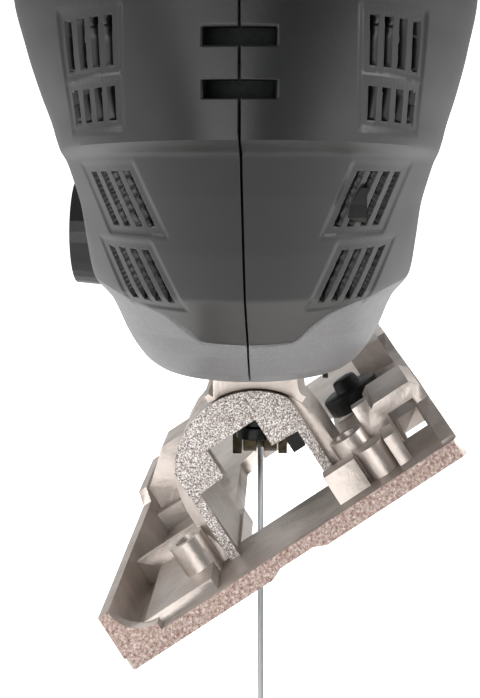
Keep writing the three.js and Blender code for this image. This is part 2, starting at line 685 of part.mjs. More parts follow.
function makeShoe(group) {
  const guide = box([-5, 50], [58.5, 71.5], [FLOOR + 0.6, FLOOR + 4.2]);
  const screwBore = bar("z", 3.2, FLOOR - 0.5, 10, [24.3, 65], 16);
  const slit = box([30.8, 36.3], [21, 41], [-30, -SOLE + 8]);
  const made = join(shoePlate(), shoeWalls(), shoeFittings(), makeArch());
  place("shoe", cut(made, guide, screwBore, slit, box([-12.4, 12.4], [24, 46], [-30, FLOOR])), "cast_bare", group);
  const z = -SOLE;
  const cap = bar("z", [3.9, 3.1], z + 11, z + 14.8, [24.3, 65], 16);
  const flange = bar("z", 7.6, z + 7.4, z + 11.9, [24.3, 65], 20);
  const stem = bar("z", 2.8, FLOOR + 5.2, z + 9, [24.3, 65], 14);
  place("guide_screw", join(cap, flange, stem), "black_steel", group);
}

function makeClamp() {
  const points = [];
  for (const [r, way] of [[12.8, 1], [11, -1]]) {
    for (let i = -6; i <= 6; i += 1) {
      const a = way * (i / 6) * THREE.MathUtils.degToRad(16);
      points.push([r * Math.sin(a), r * Math.cos(a)]);
    }
  }
  const plate = prism("y", outline(points), 22, 40);
  place("clamp_plate", cut(plate, bar("z", 2.8, 0, 20, [0, BOLT_Y], 14)), "steel");
  const bolt = join(bar("z", 2.5, 6, 28.6, [0, BOLT_Y], 14), bar("z", 4.6, 4.2, 6.9, [0, BOLT_Y], 16));
  place("clamp_bolt", bolt, "black_steel");
  const across = [BOLT_Y - 2, BOLT_Y + 2];
  const eye = join(bar("z", 4, 7.2, 8.9, [0, BOLT_Y], 20), box([0, 8.4], across, [7.2, 8.9]));
  const tip = box([-1.5, 1.5], [23.6, BOLT_Y + 2], [-1.8, 1.8]).rotate([0, -33, 0]).translate([8.7, 0, 4.5]);
  const grip = join(box([7.6, 8.4], across, [2.2, 8.9]), tip);
  place("clamp_lever", cut(join(eye, grip), bar("z", 2.8, 0, 20, [0, BOLT_Y], 14)), "black_steel");
}

// ---- what the hand meets ----
function makeControls() {
  const pad = () => {
    const shape = outline([[-48, 163], [-52, 172], [-44, 181], [40, 182], [60, 178], [66, 166], [50, 163]]);
    return prism("x", shape, 17.7, 19.4, 0.5);
  };
  place("grip_pad_right", pad(), "rubber");
  place("grip_pad_left", pad().mirror([1, 0, 0]).subtract(bar("x", 5.4, -30, -10, [6, 170], 20)), "rubber");
  const side = outline([[21, 147], [24, 145.5], [48, 147], [51, 150], [51, 161.4], [21, 161.4]]);
  place("trigger", prism("x", side, -7.5, 7.5, 0.8), "nylon");
  place("lock_button", bar("x", 4.4, -21.5, -10.5, [6, 170], 16), "nylon");
  const dial = cut(bar("x", 10.4, -4.3, 4.3, [64, 182.2], 30), bar("x", 1.8, -6, 6, [64, 182.2], 12));
  place("speed_dial", dial, "nylon");
  place("switch_module", box([-8.5, 8.5], [18, 50], [166.5, 182]), "nylon");
  place("circuit_board", box([-9, 9], [-22, 14], [163.4, 165]), "nylon");
  const gland = join(bar("y", 6.5, -90, -76, [0, 150], 20), bar("y", [7.6, 9.2], -96, -90.5, [0, 150], 20));
  const neck = bar("y", 6.5, -91, -76, [0, 150], 20);
  place("cord_gland", cut(join(gland, neck), bar("y", 3.8, -100, -70, [0, 150], 16)), "rubber");
}

// A clear chip guard on the front of the gear head.
function makeGuard() {
  const shape = new THREE.Shape();
  shape.moveTo(-19.8, 108);
  shape.lineTo(-19.8, 118);
  shape.bezierCurveTo(-19.8, 134, 19.8, 134, 19.8, 118);
  shape.lineTo(19.8, 108);
  shape.lineTo(18.2, 108);
  shape.lineTo(18.2, 118);
  shape.bezierCurveTo(18.2, 132, -18.2, 132, -18.2, 118);
  shape.lineTo(-18.2, 108);
  place("chip_guard", prism("z", shape, 4, 23.7), "clear");
}

function makeScrews() {
  const screws = [
    ...BOSSES.map((at, i) => ["housing_screw_" + (i + 1), at, BOSS_SEATS[i]]),
    ...CASE_BOSSES.map((at, i) => ["case_screw_" + (i + 1), at, CASE_SEATS[i]]),
  ];
  for (const [name, at, seat] of screws) {
    const head = bar("x", 3.7, seat + 0.3, seat + 3, at, 10);
    const shank = bar("x", 1.8, -6.5, seat + 1, at, 8);
    const drive = bar("x", 1.5, seat + 1.5, seat + 5, at, 6);
    place(name, cut(join(head, shank), drive), "black_steel");
  }
}

function build() {
  const casing = makeCasing();
  for (const [name, made] of Object.entries(casing)) {
    place(name, made, name.startsWith("housing") ? "charcoal" : "cast_grey");
  }
  makeMotor();
  makeGearTrain();
  makePlunger();
  makeOrbit();
  const tilted = new THREE.Group();
  tilted.rotation.y = -TILT;
  root.add(tilted);
  makeShoe(tilted);
  makeClamp();
  makeControls();
  makeGuard();
  makeScrews();
}

build();

export default root;
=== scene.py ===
"""Looks for the jigsaw.

Lengths are millimetres in the tool's own frame, until `metres` turns them into the row frame.
"""

import json
import math

import bmesh
import bpy
import numpy as np
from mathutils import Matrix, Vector


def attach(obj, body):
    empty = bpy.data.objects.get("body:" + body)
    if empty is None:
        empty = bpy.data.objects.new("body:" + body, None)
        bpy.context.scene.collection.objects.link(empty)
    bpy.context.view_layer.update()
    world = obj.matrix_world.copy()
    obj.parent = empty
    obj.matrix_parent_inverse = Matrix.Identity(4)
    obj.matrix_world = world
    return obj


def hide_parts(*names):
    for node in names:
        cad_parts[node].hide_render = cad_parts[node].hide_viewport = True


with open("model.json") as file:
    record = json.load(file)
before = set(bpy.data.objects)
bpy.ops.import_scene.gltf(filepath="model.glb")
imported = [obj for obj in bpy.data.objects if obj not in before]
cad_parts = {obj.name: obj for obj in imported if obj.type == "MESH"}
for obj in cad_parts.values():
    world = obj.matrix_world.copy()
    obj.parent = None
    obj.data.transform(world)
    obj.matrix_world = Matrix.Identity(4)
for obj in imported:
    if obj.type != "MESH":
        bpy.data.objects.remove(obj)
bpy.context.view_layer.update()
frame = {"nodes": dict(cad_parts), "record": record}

# ---- driving dimensions, the same as the part's ----
TILT = math.radians(33)
SOLE = 16.9  # sole below the tilt axis
ORIGIN_Y = 10
MOTOR_Z = 86
CROWN_R = 34.6
SEAM = 0.17  # half the gap at a parting line
SKIN = 2.2  # thickness of a moulded or cast wall
KEEL_Z, ROOF_Z = 23.5, 121.5  # bottom and top of the motor casing
STERN_Y, NOSE_Y = -90, 84  # its ends
FLANK_END = 44  # where its straight flank ends, and the shoulder starts
NOSE_R = 3  # rounding of the nose's corner
NECK = 27  # half the nose's width
HEAD_Y, HEAD_HALF = 97, 30  # middle and half length of the gear head
HEAD_FOOT, HEAD_TOP = 24, 118
HEAD_POWER = 0.55  # how square the head's section is: 1 is an ellipse
GRIP_HALF, GRIP_POWER = 17.5, 0.62  # half the handle's width, and how square its section is
ARCH_R = 17.8  # inside of the shoe's arch
FLOOR_Z = -88.5
WELD = 0.00002  # metres within which vertices are one
SMOOTH_TO = math.radians(35)  # a turn between faces past which an edge is shaded sharp
EDGE_ANGLE = math.radians(32)  # a turn past which an edge is rounded
SIDES = ((-1, "left"), (1, "right"))


# ---- geometry ----
def metres(points):
    """Tool-frame millimetres to row-frame metres: shift along y and z, then divide by 1000."""
    lift = np.array([0.0, -ORIGIN_Y, SOLE / math.cos(TILT)])
    return (np.asarray(points, float) + lift) / 1000


def smooth(a, b, at):
    """Smoothstep: 3t^2 - 2t^3, where t runs from 0 at a to 1 at b."""
    t = np.clip((at - a) / (b - a), 0, 1)
    return t * t * (3 - 2 * t)


def curve(knots, at):
    """Piecewise cubic through the knots. A knot's slope is its two chords' harmonic mean, or 0 at a turn."""
    k = np.array(knots, float)
    x, y = k[:, 0], k[:, 1]
    chord = np.diff(y) / np.diff(x)
    before, after = np.r_[chord[0], chord], np.r_[chord, chord[-1]]
    same = before * after > 0
    slope = np.where(same, 2 * before * after / np.where(same, before + after, 1), 0)
    at = np.clip(at, x[0], x[-1])
    i = np.clip(np.searchsorted(x, at) - 1, 0, len(x) - 2)
    h = x[i + 1] - x[i]
    t = (at - x[i]) / h
    a = (2 * t**3 - 3 * t**2 + 1) * y[i] + (t**3 - 2 * t**2 + t) * h * slope[i]
    b = (-2 * t**3 + 3 * t**2) * y[i + 1] + (t**3 - t**2) * h * slope[i + 1]
    return a + b


def sheet_mesh(name, grid, keep=None, round_u=False, round_v=False):
    """A quad mesh over a grid of points: each cell is a face, apart from the cells that `keep` leaves out."""
    nu, nv = grid.shape[:2]
    index = np.arange(nu * nv).reshape(nu, nv)
    if round_u:
        index = np.vstack([index, index[:1]])
    if round_v:
        index = np.hstack([index, index[:, :1]])
    quads = np.stack([index[:-1, :-1], index[1:, :-1], index[1:, 1:], index[:-1, 1:]], -1)
    quads = quads[keep] if keep is not None else quads.reshape(-1, 4)
    used, faces = np.unique(quads, return_inverse=True)
    mesh = bpy.data.meshes.new(name)
    mesh.from_pydata(metres(grid.reshape(-1, 3)[used]).tolist(), [], faces.reshape(-1, 4).tolist())
    return mesh


def piece(name, mesh, body, finish, replaces=(), outward=True):
    """Makes a mesh one piece of the scene: doubles merged, faces turned out, shaded smooth up to SMOOTH_TO."""
    made = bmesh.new()
    made.from_mesh(mesh)
    bmesh.ops.remove_doubles(made, verts=made.verts, dist=WELD)
    if outward:
        bmesh.ops.recalc_face_normals(made, faces=made.faces)
    made.to_mesh(mesh)
    made.free()
    mesh.shade_smooth()
    mesh.set_sharp_from_angle(angle=SMOOTH_TO)
    mesh.materials.clear()
    mesh.materials.append(finish)
    obj = bpy.data.objects.new(name, mesh)
    bpy.context.scene.collection.objects.link(obj)
    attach(obj, body)
    for node in replaces:
        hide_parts(node)
    return obj


def wall(obj):
    """Gives a skin its thickness, inwards."""
    made = obj.modifiers.new("wall", "SOLIDIFY")
    made.thickness = SKIN / 1000
    made.offset = -1


def soften(obj, radius):
    """Rounds the edges that are sharper than EDGE_ANGLE, as a casting or moulding has them."""
    made = obj.modifiers.new("edges", "BEVEL")
    made.width = radius / 1000
    made.segments = 2
    made.limit_method = "ANGLE"
    made.angle_limit = EDGE_ANGLE
    made.harden_normals = False
    made.use_clamp_overlap = True


# ---- materials ----
def linear(hex_colour):
    """An sRGB hex value as linear red, green, blue and alpha."""
    channels = [int(hex_colour[i : i + 2], 16) / 255 for i in (0, 2, 4)]
    return [c / 12.92 if c <= 0.04045 else ((c + 0.055) / 1.055) ** 2.4 for c in channels] + [1.0]


def add(tree, kind, settings=None, **inputs):
    """Adds a node. A setting named stops fills its colour ramp. An input is a value, or another node's output
    to link, and i6 stands for the socket with that number."""
    made = tree.nodes.new(kind)
    for key, value in (settings or {}).items():
        if key != "stops":
            setattr(made, key, value)
            continue
        while len(made.color_ramp.elements) < len(value):
            made.color_ramp.elements.new(0.5)
        for element, (at, colour) in zip(made.color_ramp.elements, value):
            element.position, element.color = at, linear(colour)
    for key, value in inputs.items():
        numbered = key[0] == "i" and key[1:].isdigit()
        socket = made.inputs[int(key[1:])] if numbered else made.inputs[key.replace("_", " ")]
        if isinstance(value, bpy.types.NodeSocket):
            tree.links.new(value, socket)
        else:
            socket.default_value = value
    return made


def material(name):
    """An empty material with its object coordinates, which are the tool's own metres."""
    made = bpy.data.materials.new(name)
    made.use_nodes = True
    made.node_tree.nodes.clear()
    return made, made.node_tree, add(made.node_tree, "ShaderNodeTexCoord")


def moulded_abs(name, colour, worn, rough):
    """Injection-moulded ABS with a spark-eroded grain: a dull, slightly cloudy sheen with rubbed patches."""
    made, tree, where = material(name)
    spot = where.outputs["Object"]
    cloud = add(tree, "ShaderNodeTexNoise", Vector=spot, Scale=1000 / 28, Detail=4.0).outputs[0]
    fine = add(tree, "ShaderNodeTexNoise", Vector=spot, Scale=1000 / 0.55, Detail=2.0).outputs[0]
    tone = add(tree, "ShaderNodeValToRGB", {"stops": [(0.3, colour), (0.75, worn)]}, Fac=cloud)
    dull = add(tree, "ShaderNodeMapRange", Value=cloud, To_Min=rough - 0.05, To_Max=rough + 0.09)
    bump = add(tree, "ShaderNodeBump", Height=fine, Distance=0.00003, Strength=0.5)
    shader = add(
        tree, "ShaderNodeBsdfPrincipled", Base_Color=tone.outputs[0], Roughness=dull.outputs[0],
        Normal=bump.outputs[0], IOR=1.5,
    )
    add(tree, "ShaderNodeOutputMaterial", Surface=shader.outputs[0])
    return made


def painted_casting():
    """Die-cast magnesium under satin grey lacquer: orange peel under 2 mm wide and a soft metallic sheen."""
    made, tree, where = material("lacquered_magnesium")
    spot = where.outputs["Object"]
    cloud = add(tree, "ShaderNodeTexNoise", Vector=spot, Scale=1000 / 22, Detail=3.0).outputs[0]
    peel = add(tree, "ShaderNodeTexNoise", Vector=spot, Scale=1000 / 1.6, Detail=2.0).outputs[0]
    flake = add(tree, "ShaderNodeTexNoise", Vector=spot, Scale=1000 / 0.35, Detail=2.0).outputs[0]
    tone = add(tree, "ShaderNodeValToRGB", {"stops": [(0.25, "7d7d7f"), (0.8, "8b8a8b")]}, Fac=cloud)
    sparkle = add(tree, "ShaderNodeValToRGB", {"stops": [(0.35, "d8d8d8"), (0.65, "ffffff")]}, Fac=flake)
    mixed = add(
        tree, "ShaderNodeMix", {"data_type": "RGBA", "blend_type": "MULTIPLY"},
        i0=0.6, i6=tone.outputs[0], i7=sparkle.outputs[0],
    )
    dull = add(tree, "ShaderNodeMapRange", Value=peel, To_Min=0.34, To_Max=0.48)
    bump = add(tree, "ShaderNodeBump", Height=peel, Distance=0.00002, Strength=0.5)
    shader = add(
        tree, "ShaderNodeBsdfPrincipled", Base_Color=mixed.outputs[2], Metallic=0.4,
        Roughness=dull.outputs[0], Normal=bump.outputs[0],
    )
    add(tree, "ShaderNodeOutputMaterial", Surface=shader.outputs[0])
    return made


def bare_casting():
    """Zinc-aluminium as it leaves the die: a warm satin skin. The arch's back face, 5 mm ahead of the origin,
    sparkles with a blasted grain, and the sole's sawn back rim is pinker and coarser."""
    made, tree, where = material("bare_die_casting")
    spot = where.outputs["Object"]
    flow = add(tree, "ShaderNodeTexNoise", Vector=spot, Scale=1000 / 9, Detail=5.0, Roughness=0.6).outputs[0]
    speck = add(
        tree, "ShaderNodeTexNoise", Vector=spot, Scale=1000 / 0.62, Detail=3.0, Roughness=0.75
    ).outputs[0]
    grit = add(tree, "ShaderNodeTexNoise", Vector=spot, Scale=1000 / 0.34, Detail=2.0, Roughness=0.8).outputs[0]
    pits = add(tree, "ShaderNodeTexNoise", Vector=spot, Scale=1000 / 1.8, Detail=4.0, Roughness=0.6).outputs[0]
    skin = add(tree, "ShaderNodeValToRGB", {"stops": [(0.3, "b3a8a0"), (0.7, "d0c6bf")]}, Fac=flow)
    sparkle = add(
        tree, "ShaderNodeValToRGB",
        {"stops": [(0.36, "5d5550"), (0.45, "a89d97"), (0.55, "d6cdc8"), (0.64, "ffffff")]}, Fac=grit,
    )
    sawn = add(
        tree, "ShaderNodeValToRGB",
        {"stops": [(0.34, "7d5f58"), (0.45, "a98f86"), (0.56, "c2b0a7"), (0.68, "e6dcd5")]}, Fac=speck,
    )
    along = add(tree, "ShaderNodeSeparateXYZ", Vector=spot).outputs[1]
    rim = add(tree, "ShaderNodeMath", {"operation": "LESS_THAN"}, i0=along, i1=-0.0094).outputs[0]
    arch = add(tree, "ShaderNodeMath", {"operation": "COMPARE"}, i0=along, i1=0.005, i2=0.0006).outputs[0]
    facing = add(tree, "ShaderNodeSeparateXYZ", Vector=where.outputs["Normal"]).outputs[1]
    square = add(tree, "ShaderNodeMapRange", Value=facing, From_Min=-0.6, From_Max=-0.92).outputs[0]
    either = add(tree, "ShaderNodeMath", {"operation": "ADD", "use_clamp": True}, i0=rim, i1=arch).outputs[0]
    back = add(tree, "ShaderNodeMath", {"operation": "MULTIPLY"}, i0=either, i1=square).outputs[0]
    coarse = add(
        tree, "ShaderNodeMix", {"data_type": "RGBA"}, i0=rim, i6=sparkle.outputs[0], i7=sawn.outputs[0]
    )
    mixed = add(
        tree, "ShaderNodeMix", {"data_type": "RGBA"}, i0=back, i6=skin.outputs[0], i7=coarse.outputs[2]
    )
    dull = add(tree, "ShaderNodeMapRange", Value=back, To_Min=0.36, To_Max=0.5)
    height = add(tree, "ShaderNodeMix", {"data_type": "FLOAT"}, i0=back, i2=pits, i3=grit)
    bump = add(tree, "ShaderNodeBump", Height=height.outputs[0], Distance=0.00025, Strength=0.55)
    shader = add(
        tree, "ShaderNodeBsdfPrincipled", Base_Color=mixed.outputs[2], Metallic=0.7,
        Roughness=dull.outputs[0], Normal=bump.outputs[0],
    )
    add(tree, "ShaderNodeOutputMaterial", Surface=shader.outputs[0])
    return made


def ground_steel(name, dark, light, stretch, rough):
    """Surface-ground steel: fine parallel scratches along one axis, brighter where they are shallow."""
    made, tree, where = material(name)
    drawn = add(tree, "ShaderNodeMapping", Vector=where.outputs["Object"], Scale=stretch)
    lines = add(
        tree, "ShaderNodeTexNoise", Vector=drawn.outputs[0], Scale=1000 / 0.35, Detail=4.0, Roughness=0.7
    ).outputs[0]
    tone = add(tree, "ShaderNodeValToRGB", {"stops": [(0.2, dark), (0.8, light)]}, Fac=lines)
    dull = add(tree, "ShaderNodeMapRange", Value=lines, To_Min=rough - 0.06, To_Max=rough + 0.12)
    bump = add(tree, "ShaderNodeBump", Height=lines, Distance=0.00001, Strength=0.4)
    shader = add(
        tree, "ShaderNodeBsdfPrincipled", Base_Color=tone.outputs[0], Metallic=1.0,
        Roughness=dull.outputs[0], Normal=bump.outputs[0],
    )
    add(tree, "ShaderNodeOutputMaterial", Surface=shader.outputs[0])
    return made


def blackened_steel():
    """Steel with a hot black-oxide finish: near black, oily sheen, a little brown where it is thin."""
    made, tree, where = material("black_oxide_steel")
    spot = where.outputs["Object"]
    cloud = add(tree, "ShaderNodeTexNoise", Vector=spot, Scale=1000 / 3, Detail=4.0).outputs[0]
    fine = add(tree, "ShaderNodeTexNoise", Vector=spot, Scale=1000 / 0.5, Detail=2.0).outputs[0]
    tone = add(tree, "ShaderNodeValToRGB", {"stops": [(0.3, "0e1112"), (0.8, "23211f")]}, Fac=cloud)
    dull = add(tree, "ShaderNodeMapRange", Value=cloud, To_Min=0.32, To_Max=0.5)
    bump = add(tree, "ShaderNodeBump", Height=fine, Distance=0.000015, Strength=0.5)
    shader = add(
        tree, "ShaderNodeBsdfPrincipled", Base_Color=tone.outputs[0], Metallic=0.6,
        Roughness=dull.outputs[0], Normal=bump.outputs[0],
    )
    add(tree, "ShaderNodeOutputMaterial", Surface=shader.outputs[0])
    return made


def soft_rubber():
    """Thermoplastic rubber moulded over a hard shell: matt, with a fine pebbled grain."""
    made, tree, where = material("moulded_rubber")
    cells = add(tree, "ShaderNodeTexVoronoi", Vector=where.outputs["Object"], Scale=1000 / 1.1).outputs[0]
    tone = add(tree, "ShaderNodeValToRGB", {"stops": [(0.0, "1b1d1d"), (0.8, "262929")]}, Fac=cells)
    bump = add(tree, "ShaderNodeBump", Height=cells, Distance=0.00008, Strength=0.6)
    shader = add(
        tree, "ShaderNodeBsdfPrincipled", Base_Color=tone.outputs[0], Roughness=0.72,
        Normal=bump.outputs[0], IOR=1.5, Specular_IOR_Level=0.35,
    )
    add(tree, "ShaderNodeOutputMaterial", Surface=shader.outputs[0])
    return made


def worked_metal(name, dark, light, rough, period):
    """Turned, sintered or stamped metal seen through a gap: a mottled tone and a fine tool grain."""
    made, tree, where = material(name)
    cloud = add(
        tree, "ShaderNodeTexNoise", Vector=where.outputs["Object"], Scale=1000 / period, Detail=4.0
    ).outputs[0]
    tone = add(tree, "ShaderNodeValToRGB", {"stops": [(0.3, dark), (0.75, light)]}, Fac=cloud)
    bump = add(tree, "ShaderNodeBump", Height=cloud, Distance=0.00002, Strength=0.4)
    shader = add(
        tree, "ShaderNodeBsdfPrincipled", Base_Color=tone.outputs[0], Metallic=1.0, Roughness=rough,
        Normal=bump.outputs[0],
    )
    add(tree, "ShaderNodeOutputMaterial", Surface=shader.outputs[0])
    return made


def clear_polycarbonate():
    """Clear polycarbonate, faintly smoked, with hairline scuffs in its gloss."""
    made, tree, where = material("clear_polycarbonate")
    drawn = add(tree, "ShaderNodeMapping", Vector=where.outputs["Object"], Scale=(0.1, 1, 1))
    scuffs = add(tree, "ShaderNodeTexNoise", Vector=drawn.outputs[0], Scale=1000 / 0.6, Detail=4.0).outputs[0]
    dull = add(tree, "ShaderNodeMapRange", Value=scuffs, To_Min=0.04, To_Max=0.22)
    shader = add(
        tree, "ShaderNodeBsdfPrincipled", Base_Color=linear("e9efee"), Roughness=dull.outputs[0], IOR=1.585,
        Transmission_Weight=1.0,
    )
    add(tree, "ShaderNodeOutputMaterial", Surface=shader.outputs[0])
    return made


ABS = moulded_abs("moulded_charcoal_abs", "0c0e0d", "151716", 0.36)
NYLON = moulded_abs("moulded_black_nylon", "121414", "1a1d1e", 0.42)
CASTING = painted_casting()
ZINC = bare_casting()
BLADE = ground_steel("ground_tool_steel", "9da2a4", "c9cdce", (1, 1, 0.02), 0.3)
STEEL = ground_steel("turned_steel", "85888a", "b9bcbd", (1, 0.02, 1), 0.28)
BLACK = blackened_steel()
RUBBER = soft_rubber()
BRONZE = worked_metal("sintered_bronze", "7c5a34", "a98150", 0.42, 1.5)
COPPER = worked_metal("enamelled_copper", "7a3f22", "b86f43", 0.35, 0.8)
IRON = worked_metal("stacked_lamination_iron", "3c3e40", "606366", 0.5, 0.7)
OILED = worked_metal("oiled_spring_steel", "2c2820", "5a503c", 0.45, 2.5)
CARBON = worked_metal("pressed_carbon", "161617", "262628", 0.65, 0.6)
CLEAR = clear_polycarbonate()

FINISH = {
    "housing": ABS, "case": CASTING, "shoe": ZINC, "blade": BLADE, "steel": STEEL, "blackened": BLACK,
    "bronze": BRONZE, "copper": COPPER, "iron": IRON, "carbon": CARBON, "nylon": NYLON, "soft": RUBBER,
    "clear": CLEAR,
}
OWN_FINISH = {"pendulum_fork": OILED, "guide_roller": OILED, "roller_pin": OILED}
SLOT_OF = {part["node"]: part["material_slot"] for part in frame["record"]["subparts"]}
for node, obj in frame["nodes"].items():
    obj.data.materials.clear()
    obj.data.materials.append(FINISH[SLOT_OF[node]])

# ---- the body: each outline is a list of knots ----
# half the casing's width by height
FLANK = [
    (23.5, 10), (26, 15.5), (29.7, 20.6), (35, 24), (41.6, 26.8), (46, 30), (52, 31),
    (58, 31.8), (64, 33.4), (70, 34.5), (78, 34.8), (86, 34.6), (90, 34.37),
]
# where the stern ends, and where the flank behind the quarter ellipse starts, both along y by height
STERN = [
    (23.5, -6), (26, -22), (28, -34), (30, -40), (34, -47), (37, -51), (45, -66), (52, -73),
    (60, -80), (65.5, -84), (67, -90), (98, -90), (110, -86), (121.5, -74),
]
STRAIGHT_FROM = [(23, -6), (62, 0), (70, -10), (76, -26), (82, -41), (90, -55), (98, -56), (122, -50)]
# height of the joint between gear case and housing: by distance from the middle round the stern, then by y
TONGUE = [(0, 36.4), (7, 36.8), (10, 39.6), (13, 42), (18, 43.6), (24, 45.6), (60, 46)]
JOINT = [(-1, 46), (56, 46), (66, 58), (80, 90), (140, 94)]


def joint_line(x, y):
    """Height of the line between gear case and housing: TONGUE's curve round the stern, JOINT's ahead of it."""
    return np.where(y < 0, curve(TONGUE, np.abs(x)), curve(JOINT, y))


def body_skin(side, t, z):
    """One side of the motor casing from above, at height z: t from 0 to 1 goes along a quarter ellipse at the
    stern, a straight flank, a shoulder that narrows by smoothstep, and a flat nose with a rounded corner. The
    stern's columns lean outwards with the slots from z = 43 to 64.5, and smoothstep eases them back outside."""
    crown = np.sqrt(np.maximum(CROWN_R**2 - (z - MOTOR_Z) ** 2, 16))
    wide = np.where(z <= 90, curve(FLANK, z), crown)
    aft = np.where((z > 67) & (z < 98), STERN_Y, np.interp(z, *np.array(STERN, float).T))
    full = np.maximum(aft + 4, curve(STRAIGHT_FROM, z))
    neck = np.minimum(wide, NECK)
    a = np.clip(t / 0.5, 0, 1) * math.pi / 2
    x = wide * np.sin(a)
    lean = VENT_LEAN * (z - 54) * smooth(37, 43, z) * (1 - smooth(64.5, 69, z))
    x = x + lean * smooth(0, 10, x) * (1 - smooth(0.7, 1, np.sin(a)))
    a = np.arcsin(np.clip(x / wide, 0, 1))
    y = full - (full - aft) * np.cos(a)
    straight = np.clip((t - 0.5) / 0.2, 0, 1)
    y = y + (FLANK_END - full) * straight
    shoulder = np.clip((t - 0.7) / 0.17, 0, 1)
    y = y + (NOSE_Y - NOSE_R - FLANK_END) * shoulder
    x = x + (neck - wide) * smooth(0, 1, shoulder)
    nose = np.clip((t - 0.87) / 0.05, 0, 1) * math.pi / 2
    x = x - NOSE_R * (1 - np.cos(nose))
    y = y + NOSE_R * np.sin(nose)
    x = x * (1 - np.clip((t - 0.92) / 0.08, 0, 1))
    x = np.maximum(x, SEAM)
    return np.stack([side * x, y, z + 0 * x], -1)


VENT_LEAN = 0.415  # how far a lower slot moves outwards, as a share of its height
# Blocks of upright slots in the stern's corners: bottom, top, nearest and furthest from the middle, lean.
VENTS = [
    (76.8, 83, 16.2, 22.4, 0), (70, 74.3, 16.2, 22.4, 0),
    (55.7, 63.5, 12.2, 19, VENT_LEAN), (44.2, 52.3, 10.4, 17, VENT_LEAN),
]
AFT = -30  # slots are only cut behind this
SLOT_WIDE, SLOT_PITCH = 1.1, 2.05
LOUVRES = (79.6, 73.2)  # heights of the two wide slots in the middle
LOUVRE_HALF = (4.6, 1.15)  # half their width and height


def vent_offset(points, low, start, lean):
    """How far a point is outward of a block's first slot, along x, once the block's lean is taken away."""
    return np.abs(points[..., 0]) - start - lean * (points[..., 2] - low)


def snap_to_slots(points, reach=0.055):
    """Moves the columns that pass within `reach` of a slot's edge onto it, so that the edge runs straight."""
    for low, high, start, stop, lean in VENTS:
        off = vent_offset(points, low, start, lean)
        slot = np.round((off - SLOT_WIDE / 2) / SLOT_PITCH)
        edge = slot * SLOT_PITCH + np.where(off - slot * SLOT_PITCH > SLOT_WIDE / 2, SLOT_WIDE, 0)
        z = points[..., 2]
        near = (np.abs(off - edge) < reach) & (z > low - 1.5) & (z < high + 1.5) & (points[..., 1] < AFT)
        near &= (slot >= 0) & (slot * SLOT_PITCH <= stop - start)
        points[..., 0] += np.where(near, np.sign(points[..., 0]) * (edge - off), 0)
    return points


def vent_cells(points):
    """False where a point of the skin is in a vent: slots a pitch apart, leaning out, and the two louvres."""
    x, y, z = np.abs(points[..., 0]), points[..., 1], points[..., 2]
    open_cell = np.zeros(x.shape, bool)
    for low, high, start, stop, lean in VENTS:
        off = vent_offset(points, low, start, lean)
        count = math.floor((stop - start) / SLOT_PITCH) + 1
        inside = (off > 0) & (off < count * SLOT_PITCH) & (off % SLOT_PITCH < SLOT_WIDE)
        open_cell |= (z > low) & (z < high) & inside & (y < AFT)
    for middle in LOUVRES:
        open_cell |= (x < LOUVRE_HALF[0]) & (y < -82) & (np.abs(z - middle) < LOUVRE_HALF[1])
    return ~open_cell


def panel(points):
    """Sinks the stern's vent panels by 0.7: a window over each block, whose edges smoothstep eases over 0.8."""
    z = points[..., 2]
    sunk = np.zeros(z.shape)
    for low, high, start, stop, lean in VENTS:
        off = np.abs(points[..., 0]) - lean * (z - low)
        window = smooth(low - 1.6, low - 0.8, z) * (1 - smooth(high + 0.8, high + 1.6, z))
        window = window * smooth(start - 1.6, start - 0.8, off) * (1 - smooth(stop + 1.5, stop + 2.3, off))
        sunk = np.maximum(sunk, window)
    points[..., 1] += 0.7 * sunk * (points[..., 1] < AFT)
    return points


def seam_height(t, side):
    """Where the casing's skin crosses the joint line, by bisection on the height."""
    low, high = KEEL_Z + 0 * t, ROOF_Z + 0 * t
    for _ in range(30):
        z = (low + high) / 2
        skin = body_skin(side, t, z)
        under = z < joint_line(skin[..., 0], skin[..., 1])
        low, high = np.where(under, z, low), np.where(under, high, z)
    return (low + high) / 2


def casing_half(side, upper):
    """One half of the motor casing above or below the joint line. Above it, rows are level past the line's low
    stretch, and a row lies on the end of each slot. Below it, rows share out the height from keel to line."""
    t = np.concatenate([np.linspace(0, 0.5, 340)[:-1], np.linspace(0.5, 1, 110)])[:, None]
    line = seam_height(t, side)
    first, level = 33, 43.5  # the lowest row, and the height from which rows are level
    if upper:
        ends = [z for block in VENTS for z in block[:2]]
        ends += [middle + up * LOUVRE_HALF[1] for middle in LOUVRES for up in (-1, 1)]
        rows = np.unique(np.concatenate([np.linspace(first, ROOF_Z, 240), ends]).round(3))[None, :]
        turn = np.maximum(level, line + 2)
        near_line = line + SEAM + (rows - first) / (level - first) * (turn - line - SEAM)
        z = np.where(rows < level, near_line, turn + (rows - level) * (ROOF_Z - turn) / (ROOF_Z - level))
    else:
        z = KEEL_Z + np.linspace(0, 1, 60)[None, :] * (line - SEAM - KEEL_Z)
    points = snap_to_slots(body_skin(side, t, z))
    keep = vent_cells((points[:-1, :-1] + points[1:, 1:]) / 2)
    points = panel(points)
    cap = points[:, -1:].copy() if upper else points[:, :1].copy()
    cap[..., 0] = side * SEAM
    joined = [points, cap] if upper else [cap, points]
    solid_row = np.ones((keep.shape[0], 1), bool)
    keep = np.hstack([keep, solid_row] if upper else [solid_row, keep])
    return sheet_mesh("casing", np.concatenate(joined, 1), keep)


